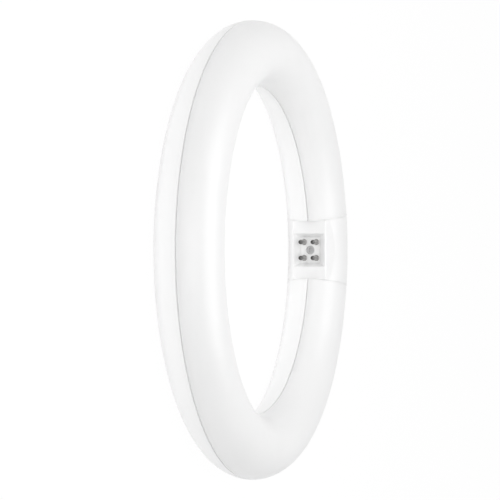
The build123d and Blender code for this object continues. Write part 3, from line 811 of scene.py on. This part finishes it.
class RINGLAMP_OT_base(bpy.types.Operator):
    """Build the base with its pocket, the pin plate and the contact pins"""

    bl_idname = "ringlamp.base"
    bl_label = "Base, plate and pins"

    def execute(self, context):
        looks, base = context.scene.finishes, context.scene.base_sizes
        body = moulded_plastic(
            "base_polycarbonate", looks.base, roughness=0.36, grain=1400.0, subsurface=0.12
        )
        fitted(build_base("base_moulding"), "base_body", body)
        # The plate's key hole gets a darker colour of painted shade
        plate = keyed_plate("plate_insulator", looks.plate, looks.painted_hole_shade, base.key_radius)
        fitted(build_plate("pin_plate_insert"), "pin_plate", plate)
        tip = base.face_x + base.pocket_depth - base.pin_length
        # The painted shade and dark reflection on the pins' tips runs over the length of their noses
        nickel = turned_nickel("turned_nickel", looks.pin, tip, base.pin_nose)
        places = [(y, z) for y in (-0.5, 0.5) for z in (-0.5, 0.5)]
        for number, (y, z) in enumerate(places, start=1):
            pin = build_pin(f"turned_pin_{number}", y * base.pin_spacing_long, z * base.pin_spacing_short)
            fitted(pin, f"contact_pin_{number}", nickel)
        return {"FINISHED"}


class RINGLAMP_OT_inner_parts(bpy.types.Operator):
    """Give the boards, chips, driver parts and leads inside the lamp their finishes"""

    bl_idname = "ringlamp.inner_parts"
    bl_label = "Inner parts"

    def execute(self, context):
        looks = {slot: speckled(*finish) for slot, finish in INNER_FINISHES.items()}
        for entry in frame["record"]["subparts"]:
            material = looks.get(entry["material_slot"])
            if material is None:
                continue
            node = frame["nodes"][entry["node"]]
            if not node.material_slots:
                node.data.materials.append(material)
            for slot in node.material_slots:
                slot.material = material
        return {"FINISHED"}


def turned_place(side, rise, origin):
    """Matrix of an object at an origin, from its own X and Y axes. Its Z axis is their cross product."""
    axes = np.stack([side, rise, np.cross(side, rise)], axis=1)
    return Matrix([[*row, p] for row, p in zip(axes, origin)] + [[0, 0, 0, 1]])


def softbox(name, origin, aim, size, watts):
    """Oblong area light at an origin, turned towards a point. Its height lies along Y."""
    light = bpy.data.lights.new(name, "AREA")
    light.shape = "RECTANGLE"
    light.size, light.size_y = size
    light.energy = watts
    lamp = bpy.data.objects.new(name, light)
    back = np.array(origin, float) - np.array(aim, float)
    back /= np.linalg.norm(back)
    side = np.cross((0.0, 1.0, 0.0), back)
    side /= np.linalg.norm(side)
    lamp.matrix_world = turned_place(side, np.cross(back, side), origin)
    bpy.context.collection.objects.link(lamp)


def math_node(tree, operation, first, second):
    """Output of a math node. Its first value is another node's output, its second an output or a number."""
    node = tree.nodes.new("ShaderNodeMath")
    node.operation = operation
    tree.links.new(first, node.inputs[0])
    if isinstance(second, bpy.types.NodeSocket):
        tree.links.new(second, node.inputs[1])
    else:
        node.inputs[1].default_value = second
    return node.outputs[0]


def seen_directly(tree):
    """Node output that is 1 for rays from the camera, mirror-like rays and rays through glass."""
    path = tree.nodes.new("ShaderNodeLightPath").outputs
    seen = math_node(tree, "MAXIMUM", path["Is Camera Ray"], path["Is Glossy Ray"])
    return math_node(tree, "MAXIMUM", seen, path["Is Transmission Ray"])


def joined_shaders(tree, kind, *inputs):
    """Output of a mix or add shader with its inputs linked in order."""
    node = tree.nodes.new(kind)
    for output, socket in zip(inputs, node.inputs):
        tree.links.new(output, socket)
    return node.outputs[0]


def studio_world(stage):
    """World that lights with a soft fill and is seen as plain white."""
    world = bpy.data.worlds.new("studio")
    world.use_nodes = True
    tree = world.node_tree
    tree.nodes.clear()
    fill = new_node(tree, "ShaderNodeBackground", Color=(1, 1, 1, 1), Strength=stage.fill).outputs[0]
    white = new_node(tree, "ShaderNodeBackground", Color=(1, 1, 1, 1)).outputs[0]
    mixed = joined_shaders(tree, "ShaderNodeMixShader", seen_directly(tree), fill, white)
    new_node(tree, "ShaderNodeOutputWorld", Surface=mixed)
    return world


def white_paper(stage):
    """Matt paper that glows a little, and that is seen as nearly plain white."""
    paper = bpy.data.materials.new("white_paper")
    paper.use_nodes = True
    tree = paper.node_tree
    tree.nodes.clear()
    tone = (stage.floor_tone, stage.floor_tone, stage.floor_tone, 1)
    matt = new_node(tree, "ShaderNodeBsdfDiffuse", Color=tone).outputs[0]
    glow = new_node(tree, "ShaderNodeEmission", Strength=stage.floor_glow).outputs[0]
    lit = joined_shaders(tree, "ShaderNodeAddShader", matt, glow)
    white = tree.nodes.new("ShaderNodeEmission").outputs[0]
    share = math_node(tree, "MULTIPLY", seen_directly(tree), stage.floor_white)
    mixed = joined_shaders(tree, "ShaderNodeMixShader", share, lit, white)
    new_node(tree, "ShaderNodeOutputMaterial", Surface=mixed)
    return paper


def studio_floor(stage):
    """Square floor at the height that the lamp rests on."""
    corners = np.array([[-1, -1], [1, -1], [1, 1], [-1, 1]]) * stage.floor_size / 2
    mesh = bpy.data.meshes.new("studio_floor")
    mesh.from_pydata(np.column_stack([corners, np.full(4, REST_HEIGHT)]), [], [[0, 1, 2, 3]])
    mesh.materials.append(white_paper(stage))
    floor = bpy.data.objects.new("studio_floor", mesh)
    bpy.context.collection.objects.link(floor)


def studio_camera(stage):
    """Camera that looks along +X and down, lying on its side, so that +Y is up in the picture."""
    data = bpy.data.cameras.new("camera")
    data.sensor_width = stage.sensor
    data.lens = stage.lens
    data.clip_start = 10 * MM
    camera = bpy.data.objects.new("camera", data)
    side = np.array([math.sin(stage.camera_pitch), 0.0, math.cos(stage.camera_pitch)])
    camera.matrix_world = turned_place(side, np.array([0.0, 1.0, 0.0]), stage.camera_place)
    bpy.context.collection.objects.link(camera)
    return camera


class RINGLAMP_OT_stage(bpy.types.Operator):
    """Set up the floor, the studio light and the camera"""

    bl_idname = "ringlamp.stage"
    bl_label = "Stage"

    def execute(self, context):
        scene, stage = context.scene, context.scene.stage_settings
        scene.view_settings.view_transform = "Standard"
        scene.world = studio_world(stage)
        studio_floor(stage)
        straight_down = (*stage.overhead_place[:2], 0.0)
        softbox("overhead_box", stage.overhead_place, straight_down, stage.overhead_size, stage.overhead)
        softbox("front_box", stage.front_place, (0.0, 0.0, 0.0), stage.front_size, stage.front)
        scene.camera = studio_camera(stage)
        return {"FINISHED"}


class RINGLAMP_PT_panel(bpy.types.Panel):
    """Lists the steps that dress the ring lamp"""

    bl_idname = "RINGLAMP_PT_panel"
    bl_label = "Ring lamp"
    bl_space_type = "VIEW_3D"
    bl_region_type = "UI"
    bl_category = "Ring lamp"

    def draw(self, context):
        for step in STEPS:
            self.layout.operator(step.bl_idname)


STEPS = (
    RINGLAMP_OT_front_diffuser,
    RINGLAMP_OT_rear_housing,
    RINGLAMP_OT_base,
    RINGLAMP_OT_inner_parts,
    RINGLAMP_OT_stage,
)
SETTINGS = {
    "ring_sizes": RingSizes,
    "base_sizes": BaseSizes,
    "finishes": Finishes,
    "stage_settings": StageSettings,
}


def register():
    """Registers the settings, the steps and the panel."""
    for group in (*SETTINGS.values(), *STEPS, RINGLAMP_PT_panel):
        bpy.utils.register_class(group)
    for name, group in SETTINGS.items():
        setattr(bpy.types.Scene, name, PointerProperty(type=group))


def unregister():
    """Takes them away again."""
    for name in SETTINGS:
        delattr(bpy.types.Scene, name)
    for group in reversed((*SETTINGS.values(), *STEPS, RINGLAMP_PT_panel)):
        bpy.utils.unregister_class(group)


def main():
    """Runs the steps in order."""
    register()
    bpy.ops.ringlamp.front_diffuser()
    bpy.ops.ringlamp.rear_housing()
    bpy.ops.ringlamp.base()
    bpy.ops.ringlamp.inner_parts()
    bpy.ops.ringlamp.stage()


if __name__ == "__main__":
    main()
